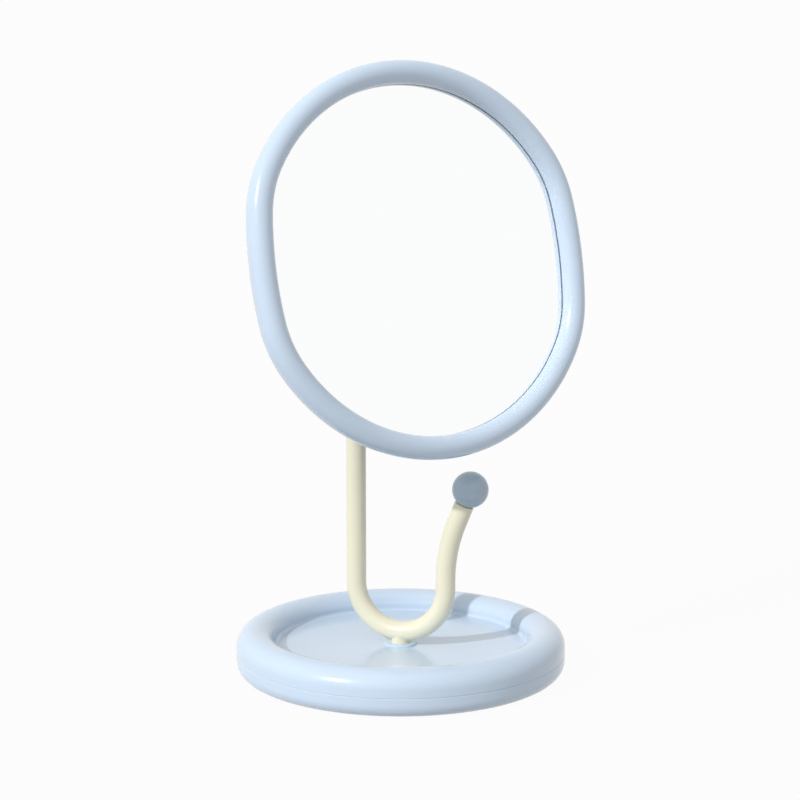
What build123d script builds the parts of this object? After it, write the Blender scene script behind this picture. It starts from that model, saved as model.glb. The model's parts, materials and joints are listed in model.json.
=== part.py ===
from build123d import *
import os
from math import asin, atan2, cos, degrees, radians, sin, sqrt

# Table mirror on a hooked stand, with a round tray base.  Millimetres, +Z up.
# The origin is the centre of the base's underside.  The hooked tube lies in the XZ plane, with its
# post at -X and its open hook at +X.  The head turns about Z and tilts about a level bolt.

# ---- fits ----
fit_gap = 0.02              # radial gap of parts that are pressed, screwed or welded together
running_clearance = 0.05    # radial gap of a shaft that turns in its bore

# ---- base shells ----
base_diameter = 150.0
base_height = 20.9
rim_width = 17.3
tray_depth = 8.4
outer_crown = 7.9           # height over which the outer wall rounds up to the rim's crest
inner_crown = 6.3           # height over which the crest rounds down to the tray's inner wall
floor_fillet = 1.6
shell_wall = 2.4
floor_thickness = 2.0
seam_height = 9.8           # where the tray shell meets the bottom shell
seam_chamfer = 0.25
foot_round = 6.0
bottom_thickness = 2.0
lip_height = 2.2
lip_root = 1.6
lip_thickness = 1.5
lip_clearance = 0.15
pad_thickness = 1.4
pad_proud = 0.6             # how far the pad stands out below the bottom shell
pad_margin = 8.7            # from the outer wall to the pad's recess
pad_clearance = 0.3
pad_edge = 0.3

# ---- ballast, ribs and base screws ----
ballast_diameter = 104.0
ballast_thickness = 3.0
ballast_bore = 30.0
ballast_clearance = 0.6
rib_count = 6
rib_thickness = 1.6
rib_clearance = 0.1
rib_setback = 1.0           # from the washer's seat to a rib's inner end
screw_count = 3
screw_circle = 44.0
screw_diameter = 3.0
screw_head_diameter = 5.6
screw_head_height = 1.3
screw_head_recess = 1.4
screw_bite = 3.6            # how far a base screw reaches into its boss
post_diameter = 8.0
hole_clearance = 0.2

# ---- foot of the stand ----
boss_diameter = 14.7
boss_height = 0.9
boss_round = 0.5
seat_diameter = 20.0
seat_thickness = 0.9
collar_diameter = 8.5
collar_wrap = 3.3           # how far the welded collar reaches up the bend
stud_diameter = 6.0
stud_tail = 0.3             # stud that stands out of its nut
washer_diameter = 18.0
washer_thickness = 1.2
lock_washer_diameter = 11.0
lock_washer_thickness = 1.4
lock_washer_slot = 1.2
foot_nut_width = 10.0
foot_nut_height = 3.0

# ---- hooked tube ----
tube_diameter = 9.0
tube_wall = 1.0
bend_radius = 21.7          # half the spacing of post and hook
bend_clearance = 0.6        # from the boss's top to the underside of the bend
hook_rise = 4.3             # straight part of the hook above the bend
hook_curve_radius = 70.0
hook_flare = 22.0           # degrees that the hook leans out
hook_tip = 10.0             # straight tip that holds the ball's insert
sway_radius = 30.0          # the two bends that bring the post back over the base's centre
neck_length = 13.0          # straight top of the tube, which holds the bushing
ball_diameter = 16.4
ball_bore_depth = 6.0
ball_stud_diameter = 4.0
insert_depth = 1.0          # how far the insert lies below the tube's tip
insert_length = 8.0

# ---- swivel ----
pivot_rise = 15.4           # from the tube's top to the tilt bolt
bushing_length = 12.0
bushing_flange = 1.0
spindle_diameter = 5.0
swivel_washer_thickness = 0.4
swivel_diameter = 14.0
swivel_foot_diameter = 10.4
swivel_taper = 2.6
swivel_height = 6.4
swivel_round = 1.2
spindle_grip = 6.0
clip_gap = 0.3
clip_thickness = 0.7
clip_groove = 0.5           # depth of the clip's groove in the spindle
clip_rim = 1.3
clip_opening = 2.6
spindle_tail = 1.2

# ---- tilt hinge ----
head_clearance = 1.7        # from the ball up to the lowest swing of the head
forward_tilt = 5.0          # how far the head can lean forwards
rest_yaw = 52.2             # the head's heading at rest, from -Y towards +X
rest_tilt = 13.0            # how far the head leans back at rest
tongue_width = 8.0
tongue_radius = 5.8
bolt_diameter = 4.0
bolt_head_diameter = 8.0
bolt_head_height = 2.6
bolt_socket = 3.0
bolt_socket_depth = 1.4
friction_washer_diameter = 10.5
friction_washer_thickness = 0.5
washer_gap = 0.05
ear_thickness = 3.0
ear_radius = 6.0
ear_spread = 13.0
bracket_diameter = 36.0
bracket_thickness = 2.5
bracket_edge = 1.0
spring_washer_diameter = 7.6
spring_washer_thickness = 1.0
tilt_nut_width = 7.0
tilt_nut_height = 3.2
tilt_bolt_tail = 0.6
bracket_screw_count = 4
bracket_screw_circle = 13.5
bracket_screw_diameter = 3.0
bracket_screw_head = 5.2
bracket_screw_head_height = 1.8
bracket_screw_slot = 0.9
bracket_screw_slot_length = 3.6
bracket_screw_bite = 3.4    # how far a bracket screw reaches past the cover's back face
bracket_boss_diameter = 7.0

# ---- mirror head ----
head_reach = 20.0           # from the tilt bolt to the middle plane of the ring
ring_half_width = 78.5      # to the middle of the ring's section
ring_half_height = 82.6
ring_corner_radius = 51.8
side_bow = 1.1              # how far the long side arcs stand out past the corner arcs
end_bow = 14.3              # the same for the arcs at the top and bottom
ring_section_width = 10.4
ring_front_depth = 5.2
ring_back_depth = 9.0
head_seam = 5.0             # from the middle plane back to the joint of frame and cover
frame_wall = 1.9
frame_crown = 2.8           # wall left in front of the frame's groove
bezel_overlap = 3.2
rebate_wall = 1.4
glass_recess = 1.0          # from the middle plane back to the glass
glass_thickness = 3.0
glass_clearance = 0.3
cover_thickness = 2.0
tongue_height = 2.0
tongue_thickness = 1.6
tongue_clearance = 0.2
glass_pad_thickness = 1.0
glass_pad_inset = 12.0
cover_rib_thickness = 1.5
cover_rib_gap = 0.1
cover_rib_spacing = 27.0
cover_rib_rings = 2
cover_spoke_count = 6

# ---- places and sizes that follow from these ----
base_radius = base_diameter / 2
tube_radius = tube_diameter / 2
tube_bore = tube_radius - tube_wall
ball_radius = ball_diameter / 2
ring_half = ring_section_width / 2

crest_radius = base_radius - rim_width / 2
inner_wall = base_radius - rim_width
tray_floor = base_height - tray_depth
floor_underside = tray_floor - floor_thickness
boss_top = tray_floor + boss_height
bottom_floor = pad_thickness + bottom_thickness
pad_radius = base_radius - pad_margin
post_top = bottom_floor + ballast_thickness + rib_clearance
rib_start = seat_diameter / 2 + rib_setback

washer_top = floor_underside - seat_thickness
lock_washer_top = washer_top - washer_thickness
foot_nut_top = lock_washer_top - lock_washer_thickness
foot_nut_bottom = foot_nut_top - foot_nut_height

bend_bottom = boss_top + bend_clearance + tube_radius
bend_centre = bend_bottom + bend_radius
ball_seat = sqrt(ball_radius ** 2 - tube_bore ** 2)
sway_angle = degrees(2 * asin(sqrt(bend_radius / (4 * sway_radius))))
ball_height = bend_centre + hook_rise + hook_curve_radius * sin(radians(hook_flare)) + (
    hook_tip + ball_seat
) * cos(radians(hook_flare))
head_drop = (ring_half_height + ring_half) * cos(radians(forward_tilt)) + head_reach * sin(
    radians(forward_tilt)
)
tilt_height = ball_height + ball_radius + head_clearance + head_drop
tube_top = tilt_height - pivot_rise
neck_bottom = tube_top - neck_length

bushing_bottom = tube_top - bushing_length
washer_seat = tube_top + bushing_flange
swivel_floor = washer_seat + swivel_washer_thickness
swivel_top = swivel_floor + swivel_height
clip_top = bushing_bottom - clip_gap
spindle_bottom = clip_top - clip_thickness - spindle_tail

hinge_half = tongue_width / 2 + washer_gap + friction_washer_thickness
ear_outside = hinge_half + ear_thickness
nut_seat = ear_outside + spring_washer_thickness

up = Vector(0, 0, 1)
hinge_axis = Vector(cos(radians(rest_yaw)), sin(radians(rest_yaw)), 0)
heading = Vector(sin(radians(rest_yaw)), -cos(radians(rest_yaw)), 0)
face_normal = heading * cos(radians(rest_tilt)) + up * sin(radians(rest_tilt))
hinge_point = Vector(0, 0, tilt_height)
middle_plane = Plane(origin=hinge_point, x_dir=hinge_axis, z_dir=face_normal).offset(head_reach)
cover_back = middle_plane.offset(-ring_back_depth)
cover_floor = cover_back.offset(cover_thickness)
bracket_back = cover_back.offset(-bracket_thickness)
swivel_side = Plane(origin=hinge_point, x_dir=heading, z_dir=hinge_axis * -1)
bracket_side = Plane(origin=hinge_point, x_dir=face_normal, z_dir=hinge_axis * -1)
from_below = Plane(origin=(0, 0, 0), x_dir=(1, 0, 0), z_dir=(0, 0, -1))


def circle_edges(part, radius, height):
    """The part's circular edges of one radius at one height."""
    return part.edges().filter_by(GeomType.CIRCLE).filter_by(
        lambda edge: abs(edge.radius - radius) < 0.01 and abs(edge.center().Z - height) < 0.01
    )


def draw_washer(outer_diameter, inner_diameter):
    """Outline of a flat ring."""
    Circle(outer_diameter / 2)
    Circle(inner_diameter / 2, mode=Mode.SUBTRACT)


# ---------------------------------------------------------------- base

def draw_tray_skin(inset):
    """Half section of the tray's top skin down to the seam, moved inwards by the inset."""
    half_rim = rim_width / 2 - inset
    crest = base_height - inset
    deck = tray_floor if inset == 0 else floor_underside
    outer_spring = base_height - outer_crown
    inner_spring = base_height - inner_crown
    wall = Line((base_radius - inset, seam_height), (base_radius - inset, outer_spring))
    EllipticalCenterArc((crest_radius, outer_spring), half_rim, crest - outer_spring, 0, arc_size=90)
    inner = EllipticalCenterArc(
        (crest_radius, inner_spring), half_rim, crest - inner_spring, 90, arc_size=90
    )
    Polyline(inner @ 1, (inner_wall + inset, deck), (0, deck), (0, seam_height), wall @ 0)


with BuildPart() as base_tray:
    with BuildSketch(Plane.XZ):
        with BuildLine():
            draw_tray_skin(0)
        make_face()
    revolve(axis=Axis.Z)
    fillet(circle_edges(base_tray, inner_wall, tray_floor), floor_fillet)
    with BuildSketch(Plane.XZ):
        with BuildLine():
            draw_tray_skin(shell_wall)
        make_face()
    revolve(axis=Axis.Z, mode=Mode.SUBTRACT)
    chamfer(circle_edges(base_tray, base_radius, seam_height), seam_chamfer)
    # the boss that the stand is screwed to, thickened below the floor
    with BuildSketch(Plane.XY.offset(tray_floor)):
        Circle(boss_diameter / 2)
    extrude(amount=boss_height)
    fillet(circle_edges(base_tray, boss_diameter / 2, boss_top), boss_round)
    with BuildSketch(Plane.XY.offset(washer_top)):
        Circle(seat_diameter / 2)
    extrude(amount=seat_thickness)
    # stiffening ribs and screw bosses, down to the ballast and the posts of the bottom shell
    with BuildSketch(Plane.XY.offset(post_top)):
        with PolarLocations((inner_wall + rib_start) / 2, rib_count, start_angle=180 / rib_count):
            Rectangle(inner_wall - rib_start, rib_thickness)
        with PolarLocations(screw_circle, screw_count):
            Circle(post_diameter / 2)
    extrude(amount=floor_underside - post_top)
    with Locations(Plane.XY.offset(boss_top)):
        Hole(stud_diameter / 2 + hole_clearance)
    with BuildSketch(Plane.XY.offset(post_top)):
        with PolarLocations(screw_circle, screw_count):
            Circle(screw_diameter / 2 + fit_gap)
    extrude(amount=screw_bite + rib_clearance, mode=Mode.SUBTRACT)

with BuildPart() as base_bottom:
    with BuildSketch(Plane.XZ):
        with BuildLine():
            FilletPolyline(
                (0, pad_proud), (base_radius, pad_proud), (base_radius, seam_height),
                radius=foot_round,
            )
            Polyline((base_radius, seam_height), (0, seam_height), (0, pad_proud))
        make_face()
    revolve(axis=Axis.Z)
    with BuildSketch(Plane.XZ):
        with BuildLine():
            FilletPolyline(
                (0, bottom_floor), (base_radius - shell_wall, bottom_floor),
                (base_radius - shell_wall, seam_height), radius=foot_round - shell_wall,
            )
            Polyline((base_radius - shell_wall, seam_height), (0, seam_height), (0, bottom_floor))
        make_face()
    revolve(axis=Axis.Z, mode=Mode.SUBTRACT)
    chamfer(circle_edges(base_bottom, base_radius, seam_height), seam_chamfer)
    # the lip that centres the tray shell
    with BuildSketch(Plane.XZ):
        inside = base_radius - shell_wall
        with BuildLine():
            Polyline(
                (inside, seam_height - lip_root - lip_thickness),
                (inside, seam_height - lip_clearance),
                (inside - lip_clearance, seam_height),
                (inside - lip_clearance, seam_height + lip_height),
                (inside - lip_thickness, seam_height + lip_height),
                (inside - lip_thickness, seam_height - lip_root),
                close=True,
            )
        make_face()
    revolve(axis=Axis.Z)
    # posts under the tray's screw bosses, and the pad's recess
    with BuildSketch(Plane.XY.offset(bottom_floor)):
        with PolarLocations(screw_circle, screw_count):
            Circle(post_diameter / 2)
    extrude(amount=post_top - bottom_floor)
    with BuildSketch(Plane.XY.offset(pad_proud)):
        Circle(pad_radius)
    extrude(amount=pad_thickness - pad_proud, mode=Mode.SUBTRACT)
    with Locations(from_below.offset(-pad_thickness)):
        with PolarLocations(screw_circle, screw_count):
            CounterBoreHole(
                screw_diameter / 2 + hole_clearance,
                screw_head_diameter / 2 + hole_clearance,
                screw_head_recess,
                depth=post_top - pad_thickness,
            )

with BuildPart() as antislip_pad:
    with BuildSketch(Plane.XY):
        Circle(pad_radius - pad_clearance)
    extrude(amount=pad_thickness)
    chamfer(circle_edges(antislip_pad, pad_radius - pad_clearance, 0), pad_edge)

with BuildPart() as ballast_plate:
    with BuildSketch(Plane.XY.offset(bottom_floor)):
        Circle(ballast_diameter / 2)
        Circle(ballast_bore / 2, mode=Mode.SUBTRACT)
        with PolarLocations(screw_circle, screw_count):
            Circle(post_diameter / 2 + ballast_clearance, mode=Mode.SUBTRACT)
    extrude(amount=ballast_thickness)

screw_head_top = pad_thickness + screw_head_recess
with BuildPart() as base_screws:
    with BuildSketch(Plane.XY.offset(screw_head_top)):
        with PolarLocations(screw_circle, screw_count):
            Circle(screw_head_diameter / 2)
    extrude(amount=-screw_head_height)
    with BuildSketch(Plane.XY.offset(screw_head_top)):
        with PolarLocations(screw_circle, screw_count):
            Circle(screw_diameter / 2)
    extrude(amount=post_top + screw_bite - screw_head_top)


# ---------------------------------------------------------------- stand

with BuildPart() as stand_tube:
    with BuildLine(Plane.XZ) as tube_path:
        neck = Line((0, tube_top), (0, neck_bottom))
        sway_out = JernArc(neck @ 1, neck % 1, sway_radius, -sway_angle)
        sway_back = JernArc(sway_out @ 1, sway_out % 1, sway_radius, sway_angle)
        post = Line(sway_back @ 1, (-bend_radius, bend_centre))
        bend = JernArc(post @ 1, post % 1, bend_radius, 180)
        rise = Line(bend @ 1, (bend_radius, bend_centre + hook_rise))
        flare = JernArc(rise @ 1, rise % 1, hook_curve_radius, -hook_flare)
        tip = Line(flare @ 1, flare @ 1 + (flare % 1) * hook_tip)
    with BuildSketch(Plane(origin=neck @ 0, z_dir=neck % 0)) as tube_section:
        Circle(tube_radius)
        Circle(tube_bore, mode=Mode.SUBTRACT)
    sweep(path=tube_path.wire())

tip_plane = Plane(origin=tip @ 1, x_dir=(0, 1, 0), z_dir=tip % 1)

with BuildPart() as foot_stud:
    with BuildSketch(Plane.XY.offset(boss_top)):
        Circle(collar_diameter / 2)
    extrude(amount=bend_clearance + collar_wrap)
    with BuildSketch(Plane(origin=bend @ 0, z_dir=bend % 0)):
        Circle(tube_radius + fit_gap)
    sweep(path=bend, mode=Mode.SUBTRACT)
    with BuildSketch(Plane.XY.offset(foot_nut_bottom - stud_tail)):
        Circle(stud_diameter / 2)
    extrude(amount=boss_top - foot_nut_bottom + stud_tail)

with BuildPart() as foot_washer:
    with BuildSketch(Plane.XY.offset(lock_washer_top)):
        draw_washer(washer_diameter, stud_diameter + 2 * hole_clearance)
    extrude(amount=washer_thickness)

with BuildPart() as foot_lock_washer:
    with BuildSketch(Plane.XY.offset(foot_nut_top)):
        draw_washer(lock_washer_diameter, stud_diameter + 2 * hole_clearance)
        with Locations((lock_washer_diameter / 4, 0)):
            Rectangle(lock_washer_diameter / 2, lock_washer_slot, rotation=20, mode=Mode.SUBTRACT)
    extrude(amount=lock_washer_thickness)

with BuildPart() as foot_nut:
    with BuildSketch(Plane.XY.offset(foot_nut_bottom)):
        RegularPolygon(foot_nut_width / 2, 6, major_radius=False)
        Circle(stud_diameter / 2 + fit_gap, mode=Mode.SUBTRACT)
    extrude(amount=foot_nut_height)

with BuildPart() as hook_insert:
    with BuildSketch(tip_plane.offset(-insert_depth - insert_length)):
        Circle(tube_bore - fit_gap)
        Circle(ball_stud_diameter / 2 + fit_gap, mode=Mode.SUBTRACT)
    extrude(amount=insert_length)

ball_face = ball_seat - ball_radius
with BuildPart() as hook_ball:
    with Locations(tip_plane.offset(ball_seat)):
        Sphere(ball_radius)
    with BuildSketch(tip_plane.offset(ball_face)):
        Circle(ball_stud_diameter / 2 + fit_gap)
    extrude(amount=ball_bore_depth, mode=Mode.SUBTRACT)

with BuildPart() as ball_stud:
    with BuildSketch(tip_plane.offset(-insert_depth - insert_length)):
        Circle(ball_stud_diameter / 2)
    extrude(amount=insert_depth + insert_length + ball_face + ball_bore_depth - fit_gap)


# ---------------------------------------------------------------- swivel

with BuildPart() as swivel_bushing:
    with BuildSketch(Plane.XY.offset(bushing_bottom)):
        Circle(tube_bore - fit_gap)
    extrude(amount=bushing_length)
    with BuildSketch(Plane.XY.offset(tube_top)):
        Circle(tube_radius)
    extrude(amount=bushing_flange)
    with Locations(Plane.XY.offset(washer_seat)):
        Hole(spindle_diameter / 2 + running_clearance)

with BuildPart() as swivel_washer:
    with BuildSketch(Plane.XY.offset(washer_seat)):
        draw_washer(tube_diameter, spindle_diameter + 2 * running_clearance)
    extrude(amount=swivel_washer_thickness)

with BuildPart() as swivel_spindle:
    with BuildSketch(Plane.XY.offset(spindle_bottom)):
        Circle(spindle_diameter / 2)
    extrude(amount=swivel_floor + spindle_grip - spindle_bottom)
    with BuildSketch(Plane.XY.offset(clip_top - clip_thickness)):
        draw_washer(spindle_diameter, spindle_diameter - 2 * clip_groove)
    extrude(amount=clip_thickness, mode=Mode.SUBTRACT)

with BuildPart() as spindle_clip:
    with BuildSketch(Plane.XY.offset(clip_top - clip_thickness)):
        Circle(spindle_diameter / 2 - clip_groove + clip_rim)
        Circle(spindle_diameter / 2 - clip_groove + fit_gap, mode=Mode.SUBTRACT)
        with Locations((0, tube_radius / 2)):
            Rectangle(clip_opening, tube_radius, mode=Mode.SUBTRACT)
    extrude(amount=clip_thickness)

with BuildPart() as swivel_head:
    with BuildSketch(Plane.XZ):
        with BuildLine():
            FilletPolyline(
                (swivel_foot_diameter / 2, swivel_floor),
                (swivel_diameter / 2, swivel_floor + swivel_taper),
                (swivel_diameter / 2, swivel_top),
                (0, swivel_top),
                radius=swivel_round,
            )
            Polyline((0, swivel_top), (0, swivel_floor), (swivel_foot_diameter / 2, swivel_floor))
        make_face()
    revolve(axis=Axis.Z)
    with BuildSketch(swivel_side):
        Circle(tongue_radius)
        with Locations((0, (swivel_top - tilt_height) / 2 - swivel_round / 2)):
            Rectangle(2 * tongue_radius, tilt_height - swivel_top + swivel_round)
    extrude(amount=tongue_width / 2, both=True)
    with BuildSketch(swivel_side):
        Circle(bolt_diameter / 2 + running_clearance)
    extrude(amount=tongue_width, both=True, mode=Mode.SUBTRACT)
    with BuildSketch(Plane.XY.offset(swivel_floor)):
        Circle(spindle_diameter / 2 + fit_gap)
    extrude(amount=spindle_grip, mode=Mode.SUBTRACT)


# ---------------------------------------------------------------- tilt hinge

with BuildPart() as tilt_bracket:
    with BuildSketch(bracket_back):
        Circle(bracket_diameter / 2)
    extrude(amount=bracket_thickness)
    back_rim = tilt_bracket.edges().filter_by(
        lambda edge: abs(bracket_back.to_local_coords(edge.center()).Z) < 0.01
    )
    fillet(back_rim, bracket_edge)
    ear_root = head_reach - ring_back_depth - bracket_thickness + bracket_edge
    with BuildSketch(bracket_side.offset(hinge_half), bracket_side.offset(-ear_outside)):
        with BuildLine():
            CenterArc((0, 0), ear_radius, 0, 360)
            Line((ear_root, -ear_spread / 2), (ear_root, ear_spread / 2))
        make_hull()
    extrude(amount=ear_thickness)
    with BuildSketch(bracket_side):
        Circle(bolt_diameter / 2 + running_clearance)
    extrude(amount=ear_outside + ear_thickness, both=True, mode=Mode.SUBTRACT)
    with BuildSketch(bracket_back):
        with PolarLocations(bracket_screw_circle, bracket_screw_count, start_angle=45):
            Circle(bracket_screw_diameter / 2 + hole_clearance)
    extrude(amount=bracket_thickness, mode=Mode.SUBTRACT)

with BuildPart() as friction_washers:
    with BuildSketch(
        bracket_side.offset(hinge_half - friction_washer_thickness),
        bracket_side.offset(-hinge_half),
    ):
        draw_washer(friction_washer_diameter, bolt_diameter + 2 * running_clearance)
    extrude(amount=friction_washer_thickness)

with BuildPart() as tilt_bolt:
    with BuildSketch(bracket_side.offset(ear_outside)):
        Circle(bolt_head_diameter / 2)
    extrude(amount=bolt_head_height)
    with BuildSketch(bracket_side.offset(ear_outside + bolt_head_height)):
        RegularPolygon(bolt_socket / 2, 6, major_radius=False)
    extrude(amount=-bolt_socket_depth, mode=Mode.SUBTRACT)
    with BuildSketch(bracket_side.offset(ear_outside)):
        Circle(bolt_diameter / 2)
    extrude(amount=-(ear_outside + nut_seat + tilt_nut_height + tilt_bolt_tail))

with BuildPart() as tilt_spring_washer:
    with BuildSketch(bracket_side.offset(-nut_seat)):
        draw_washer(spring_washer_diameter, bolt_diameter + 2 * running_clearance)
    extrude(amount=spring_washer_thickness)

with BuildPart() as tilt_nut:
    with BuildSketch(bracket_side.offset(-nut_seat - tilt_nut_height)):
        RegularPolygon(tilt_nut_width / 2, 6, major_radius=False)
        Circle(bolt_diameter / 2 + fit_gap, mode=Mode.SUBTRACT)
    extrude(amount=tilt_nut_height)

with BuildPart() as bracket_screws:
    with BuildSketch(bracket_back):
        with PolarLocations(bracket_screw_circle, bracket_screw_count, start_angle=45):
            Circle(bracket_screw_head / 2)
    extrude(amount=-bracket_screw_head_height)
    with BuildSketch(bracket_back.offset(-bracket_screw_head_height)):
        with PolarLocations(bracket_screw_circle, bracket_screw_count, start_angle=45):
            Rectangle(bracket_screw_slot_length, bracket_screw_slot)
            Rectangle(bracket_screw_slot, bracket_screw_slot_length)
    extrude(amount=bracket_screw_head_height / 2, mode=Mode.SUBTRACT)
    with BuildSketch(bracket_back):
        with PolarLocations(bracket_screw_circle, bracket_screw_count, start_angle=45):
            Circle(bracket_screw_diameter / 2)
    extrude(amount=bracket_thickness + bracket_screw_bite)


# ---------------------------------------------------------------- mirror head

def draw_ring(grow):
    """The head's outline in eight tangent arcs, moved outwards from the middle of its section."""
    centre_x = ring_half_width - ring_corner_radius - side_bow
    centre_y = ring_half_height - ring_corner_radius - end_bow
    corner = ring_corner_radius + grow
    side = corner + side_bow / 2 + centre_y ** 2 / (2 * side_bow)
    end = corner + end_bow / 2 + centre_x ** 2 / (2 * end_bow)
    side_angle = degrees(atan2(centre_y, side - corner - side_bow))
    end_angle = degrees(atan2(end - corner - end_bow, centre_x))
    side_x = ring_half_width + grow - side
    end_y = ring_half_height + grow - end
    for turn, flip in ((0, 1), (180, -1)):
        CenterArc((flip * side_x, 0), side, turn - side_angle, 2 * side_angle)
        CenterArc((flip * centre_x, flip * centre_y), corner, turn + side_angle, end_angle - side_angle)
        CenterArc((0, flip * end_y), end, turn + end_angle, 180 - 2 * end_angle)
        CenterArc((-flip * centre_x, flip * centre_y), corner, turn + 180 - end_angle,
                  end_angle - side_angle)


seam_angle = degrees(asin(head_seam / ring_back_depth))
seam_grow = ring_half * cos(radians(seam_angle))
rebate_grow = bezel_overlap - ring_half
groove_inside = rebate_grow + rebate_wall
groove_outside = seam_grow - frame_wall
groove_top = ring_front_depth - frame_crown
tongue_outside = groove_outside - tongue_clearance
cover_inside = tongue_outside - tongue_thickness
pad_depth = glass_recess + glass_thickness + glass_pad_thickness
rib_height = ring_back_depth - cover_thickness - pad_depth - cover_rib_gap

with BuildPart() as mirror_frame:
    with BuildLine(middle_plane) as ring_path:
        draw_ring(0)
    start = ring_path.wire() @ 0
    along = ring_path.wire() % 0
    with BuildSketch(Plane(origin=start, x_dir=along.cross(face_normal), z_dir=along * -1)):
        with BuildLine():
            lip = Line((-ring_half, -glass_recess), (-ring_half, 0))
            inner = EllipticalCenterArc((0, 0), ring_half, ring_front_depth, 180, arc_size=-90)
            outer = EllipticalCenterArc((0, 0), ring_half, ring_front_depth, 90, arc_size=-90)
            back = EllipticalCenterArc((0, 0), ring_half, ring_back_depth, 0, arc_size=-seam_angle)
            Polyline(
                back @ 1,
                (groove_outside, -head_seam),
                (groove_outside, 0),
                (groove_outside - frame_wall / 2, groove_top),
                (groove_inside, groove_top),
                (groove_inside, -head_seam),
                (rebate_grow, -head_seam),
                (rebate_grow, -glass_recess),
                lip @ 0,
            )
        make_face()
    sweep(path=ring_path.wire())

with BuildPart() as back_cover:
    with BuildLine(middle_plane) as ring_path:
        draw_ring(0)
    # the rim carries the ring's rounded section on to the back, and a tongue stands in the groove
    with BuildSketch(Plane(origin=start, x_dir=along.cross(face_normal), z_dir=along * -1)):
        with BuildLine():
            back = EllipticalCenterArc(
                (0, 0), ring_half, ring_back_depth, -90, arc_size=90 - seam_angle
            )
            Polyline(
                back @ 1,
                (tongue_outside, -head_seam),
                (tongue_outside, tongue_height - head_seam),
                (cover_inside, tongue_height - head_seam),
                (cover_inside, cover_thickness - ring_back_depth),
                (0, cover_thickness - ring_back_depth),
                back @ 0,
            )
        make_face()
    sweep(path=ring_path.wire())
    with BuildSketch(cover_back):
        with BuildLine():
            draw_ring(0)
        make_face()
    extrude(amount=cover_thickness)
    # ribs and screw bosses that hold the glass forward
    with BuildSketch(cover_floor):
        for ring in range(cover_rib_rings, 0, -1):
            middle = ring * cover_rib_spacing
            draw_washer(2 * middle + cover_rib_thickness, 2 * middle - cover_rib_thickness)
        with PolarLocations(ring_half_height / 2 + cover_rib_spacing / 2, cover_spoke_count):
            Rectangle(ring_half_height - cover_rib_spacing, cover_rib_thickness)
        with BuildLine():
            draw_ring(cover_inside)
        make_face(mode=Mode.INTERSECT)
        with PolarLocations(bracket_screw_circle, bracket_screw_count, start_angle=45):
            Circle(bracket_boss_diameter / 2)
    extrude(amount=rib_height)
    with BuildSketch(cover_back):
        with PolarLocations(bracket_screw_circle, bracket_screw_count, start_angle=45):
            Circle(bracket_screw_diameter / 2 + fit_gap)
    extrude(amount=bracket_screw_bite + cover_rib_gap, mode=Mode.SUBTRACT)

with BuildPart() as mirror_glass:
    with BuildSketch(middle_plane.offset(-glass_recess)):
        with BuildLine():
            draw_ring(rebate_grow - glass_clearance)
        make_face()
    extrude(amount=-glass_thickness)

with BuildPart() as glass_pad:
    with BuildSketch(middle_plane.offset(-glass_recess - glass_thickness)):
        with BuildLine():
            draw_ring(rebate_grow - glass_pad_inset)
        make_face()
    extrude(amount=-glass_pad_thickness)


# ---------------------------------------------------------------- the separate pieces

pieces = {
    "base_tray": base_tray,
    "base_bottom": base_bottom,
    "antislip_pad": antislip_pad,
    "ballast_plate": ballast_plate,
    "base_screws": base_screws,
    "foot_stud": foot_stud,
    "foot_washer": foot_washer,
    "foot_lock_washer": foot_lock_washer,
    "foot_nut": foot_nut,
    "stand_tube": stand_tube,
    "hook_insert": hook_insert,
    "ball_stud": ball_stud,
    "hook_ball": hook_ball,
    "swivel_bushing": swivel_bushing,
    "swivel_washer": swivel_washer,
    "swivel_spindle": swivel_spindle,
    "spindle_clip": spindle_clip,
    "swivel_head": swivel_head,
    "friction_washers": friction_washers,
    "tilt_bracket": tilt_bracket,
    "tilt_bolt": tilt_bolt,
    "tilt_spring_washer": tilt_spring_washer,
    "tilt_nut": tilt_nut,
    "bracket_screws": bracket_screws,
    "back_cover": back_cover,
    "glass_pad": glass_pad,
    "mirror_glass": mirror_glass,
    "mirror_frame": mirror_frame,
}

os.makedirs("parts", exist_ok=True)
for name, piece in pieces.items():
    piece.part.label = name
    export_step(piece.part, f"parts/{name}.step")

tube_length = tube_path.wire().length
tube_area = tube_section.sketch.area
print(f"stand_tube: {stand_tube.part.volume:.0f} mm3, section x length {tube_length * tube_area:.0f} mm3")
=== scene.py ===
import json
from math import asin, atan2, ceil, cos, degrees, pi, radians, sin, sqrt

import bpy
from mathutils import Matrix, Vector


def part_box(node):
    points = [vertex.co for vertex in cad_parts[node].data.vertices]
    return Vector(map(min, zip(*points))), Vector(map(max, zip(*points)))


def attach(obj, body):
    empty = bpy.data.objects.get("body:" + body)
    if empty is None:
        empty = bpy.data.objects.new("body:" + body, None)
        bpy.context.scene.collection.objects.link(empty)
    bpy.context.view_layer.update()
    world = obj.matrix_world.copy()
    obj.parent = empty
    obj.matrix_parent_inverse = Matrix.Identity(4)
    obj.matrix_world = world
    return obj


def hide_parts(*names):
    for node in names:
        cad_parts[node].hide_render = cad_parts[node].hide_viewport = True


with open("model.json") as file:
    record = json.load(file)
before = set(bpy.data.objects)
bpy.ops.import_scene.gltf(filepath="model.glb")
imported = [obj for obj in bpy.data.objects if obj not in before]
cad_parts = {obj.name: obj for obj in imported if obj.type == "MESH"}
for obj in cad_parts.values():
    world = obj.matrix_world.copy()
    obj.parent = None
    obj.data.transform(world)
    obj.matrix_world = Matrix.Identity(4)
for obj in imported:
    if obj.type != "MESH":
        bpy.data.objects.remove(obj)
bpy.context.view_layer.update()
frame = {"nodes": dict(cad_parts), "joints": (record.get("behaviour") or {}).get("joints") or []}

nodes = frame["nodes"]
mm = 0.001
mergeReach = 0.002 * mm
smoothDegrees = 32


# small helpers: modelling goes through Blender's own operators

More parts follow.
